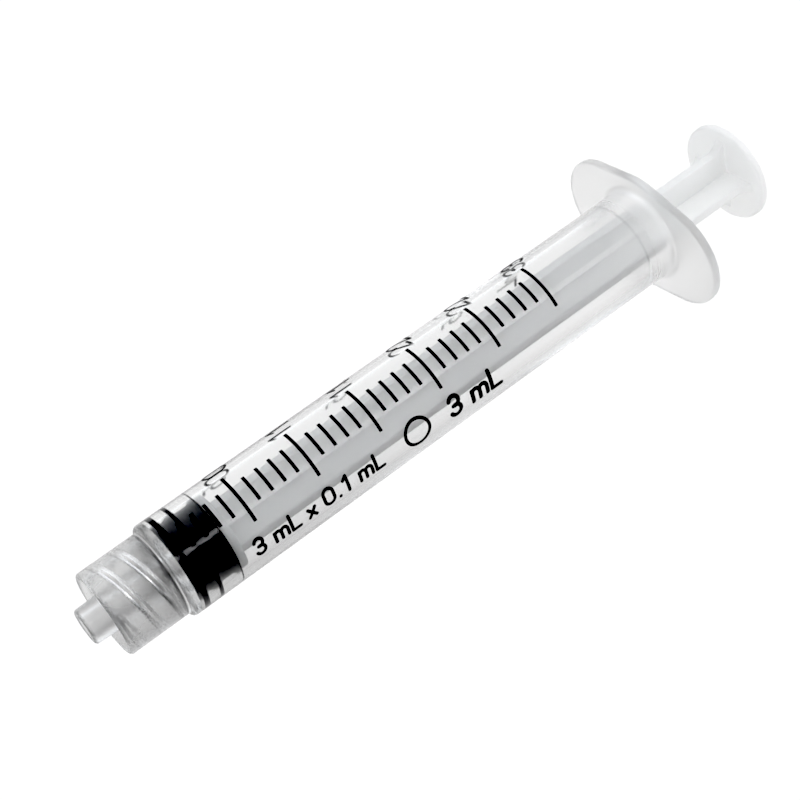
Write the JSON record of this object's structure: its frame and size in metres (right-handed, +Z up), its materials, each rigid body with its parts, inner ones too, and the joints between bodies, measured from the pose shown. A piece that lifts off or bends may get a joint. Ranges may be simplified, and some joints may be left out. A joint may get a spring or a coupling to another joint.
{
  "type": "syringe",
  "caption": "Small clear dosing syringe with a screw-lock tip, rubber stopper, crossed-fin plunger, finger wings and a printed millilitre scale.",
  "frame": {"origin": "centre of the male cone's open end, on the syringe's axis", "axes": "+X along the syringe's axis from the tip to the thumb disc, finger wings along +-Y, +Z up out of the printed scale's side"},
  "size_m": [0.0875, 0.023, 0.0146],
  "materials": {
    "clear_plastic": "clear, slightly hazy moulded polypropylene",
    "black_rubber": "smooth, lubricated, glossy",
    "milky_plastic": "milky translucent moulded polypropylene",
    "black_ink": "screen-printed ink"
  },
  "bodies": {
    "barrel": {"barrel": "clear_plastic", "minor_graduations": "black_ink", "major_graduations": "black_ink", "scale_numerals": "black_ink", "capacity_print": "black_ink", "ring_print": "black_ink"},
    "stopper": {"stopper": "black_rubber"},
    "plunger": {"plunger_rod": "milky_plastic"}
  },
  "joints": [
    {"name": "plunger_slide", "type": "slide", "parent": "barrel", "child": "stopper", "axis": [1, 0, 0], "range_m": [0, 0.05]},
    {"name": "rod_swivel", "type": "hinge", "parent": "stopper", "child": "plunger", "pos_m": [0.0145, 0, 0], "axis": [1, 0, 0], "continuous": true}
  ]
}
